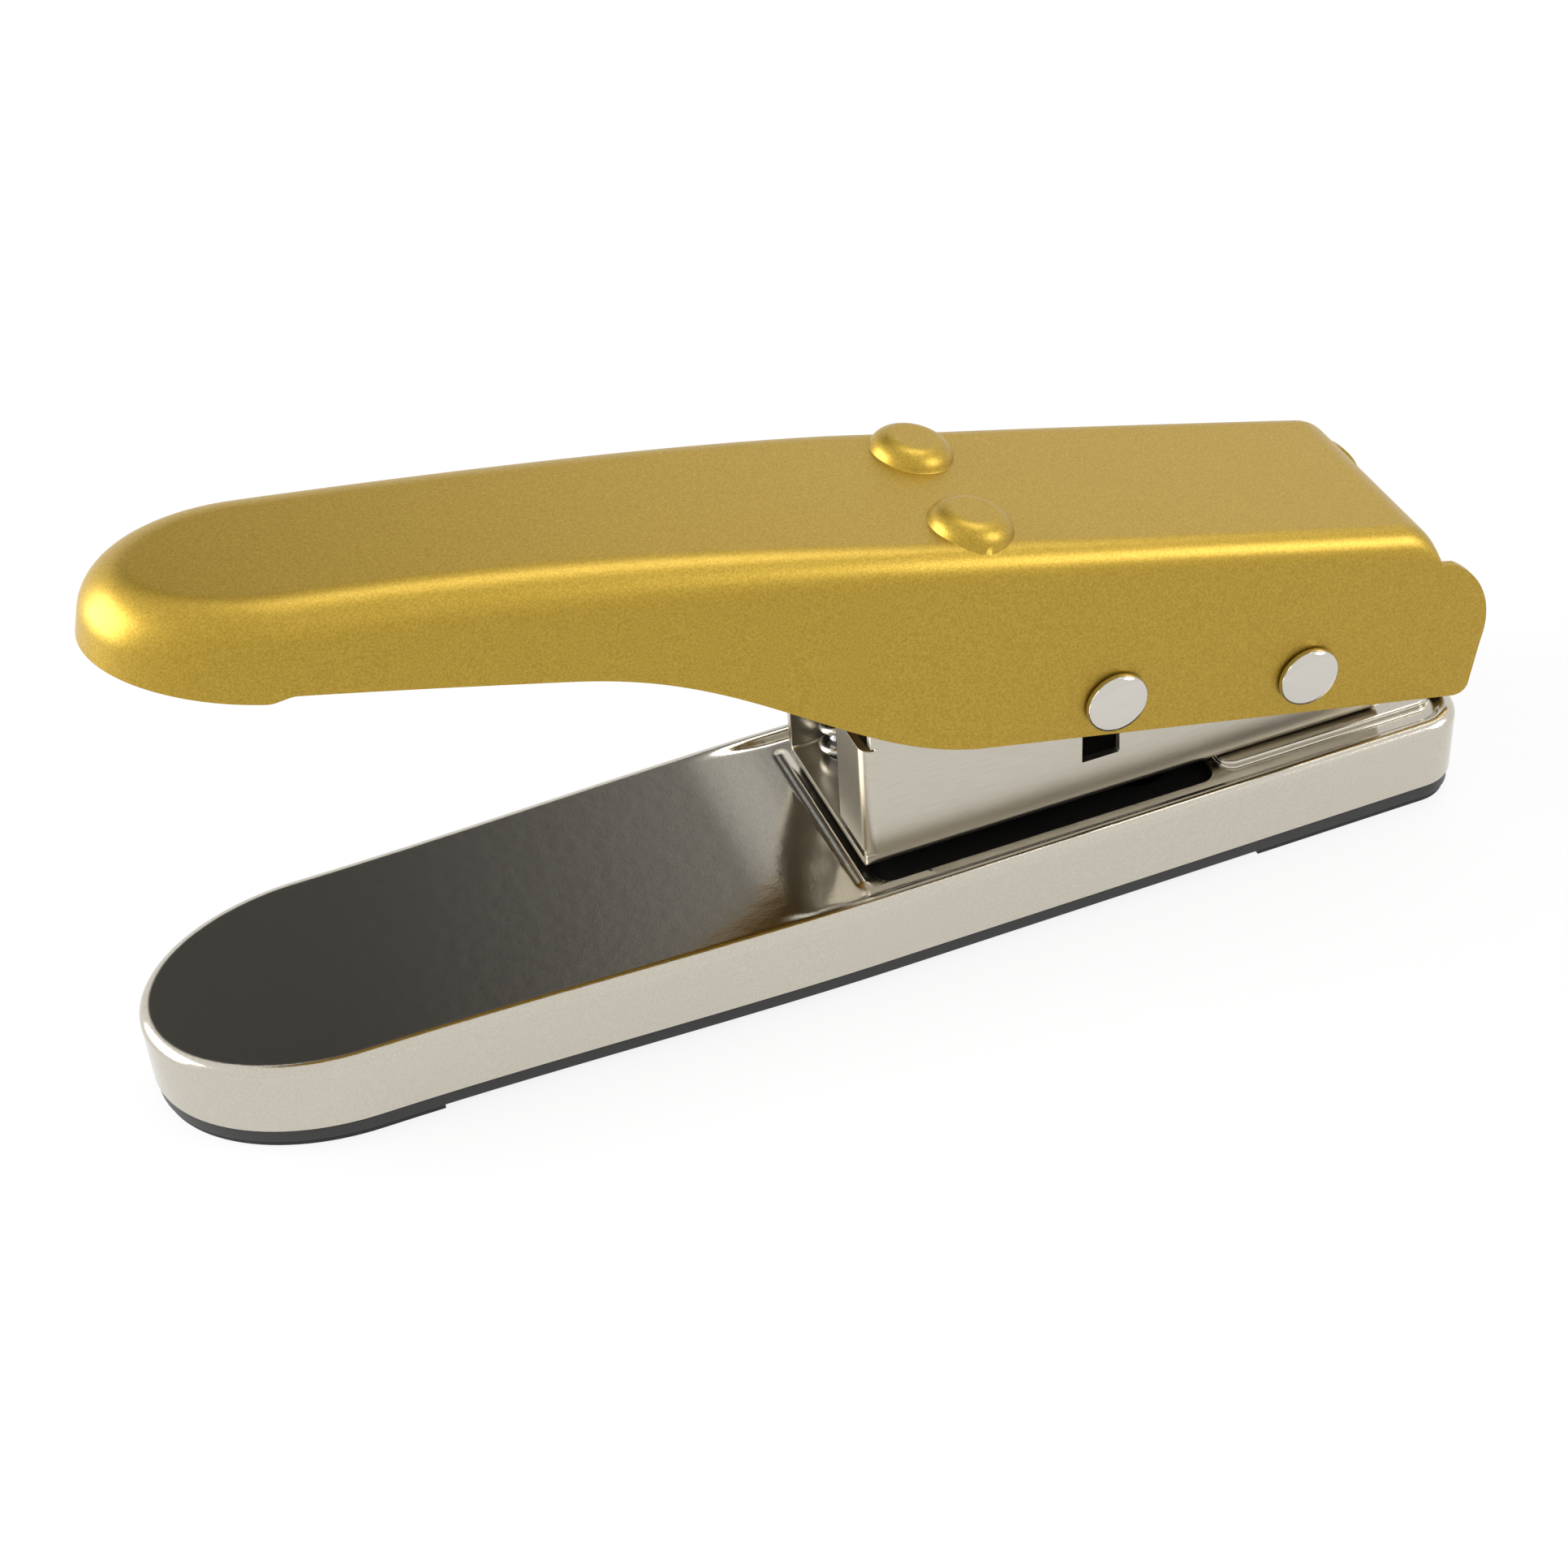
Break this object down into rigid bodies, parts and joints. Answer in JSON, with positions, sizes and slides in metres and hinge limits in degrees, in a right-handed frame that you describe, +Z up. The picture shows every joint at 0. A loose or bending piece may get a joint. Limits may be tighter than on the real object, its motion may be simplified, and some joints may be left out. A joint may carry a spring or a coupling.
{
  "type": "guitar pick punch",
  "caption": "Stapler-like hand punch that cuts guitar picks from plastic card, with a sprung pressed-steel handle over a punch frame and a long base.",
  "frame": {"origin": "on the table, under the middle of the tool's length and width", "axes": "+X from the nose of the tool to its rear pivot, +Y to its left side, +Z up"},
  "size_m": [0.2104, 0.0462, 0.0917],
  "materials": {
    "gold_paint": "satin metallic gold paint with a fine grain",
    "bright_nickel": "bright nickel plate",
    "rivet_chrome": "polished",
    "tool_steel": "ground",
    "black_steel": "black oxide",
    "spring_steel": "bright zinc",
    "black_plastic": "matt, moulded",
    "black_rubber": "matt",
    "nylon": "natural, moulded"
  },
  "bodies": {
    "root": {"base_shell": "bright_nickel", "base_cover": "black_plastic", "front_foot": "black_rubber", "rear_foot": "black_rubber", "punch_frame": "bright_nickel", "die_plate": "black_steel", "frame_rivet_1": "bright_nickel", "frame_rivet_2": "bright_nickel", "frame_rivet_3": "bright_nickel", "frame_rivet_4": "bright_nickel", "pivot_sleeve": "tool_steel", "spring_peg_left": "tool_steel", "spring_peg_right": "tool_steel", "return_spring_left": "spring_steel", "return_spring_right": "spring_steel"},
    "handle": {"handle_shell": "gold_paint", "drive_pin": "rivet_chrome", "pivot_pin": "rivet_chrome", "drive_washer_left": "nylon", "drive_washer_right": "nylon", "pivot_washer_left": "nylon", "pivot_washer_right": "nylon"},
    "punch": {"pick_punch": "tool_steel", "punch_carrier": "tool_steel", "punch_screw_1": "black_steel", "punch_screw_2": "black_steel"}
  },
  "joints": [
    {"name": "handle_hinge", "type": "hinge", "parent": "root", "child": "handle", "pos_m": [0.07361, 0, 0.031], "axis": [0, -1, 0], "range_deg": [0, 15], "stiffness_Nm_per_rad": 3.8, "springref_deg": -7.45, "deforming": ["return_spring_left", "return_spring_right"]},
    {"name": "punch_slide", "type": "slide", "parent": "root", "child": "punch", "axis": [0, 0, -1], "range_m": [0, 0.0087]}
  ],
  "couplings": [
    {"joint": "punch_slide", "follows": "handle_hinge", "m_per_rad": 0.03286}
  ]
}
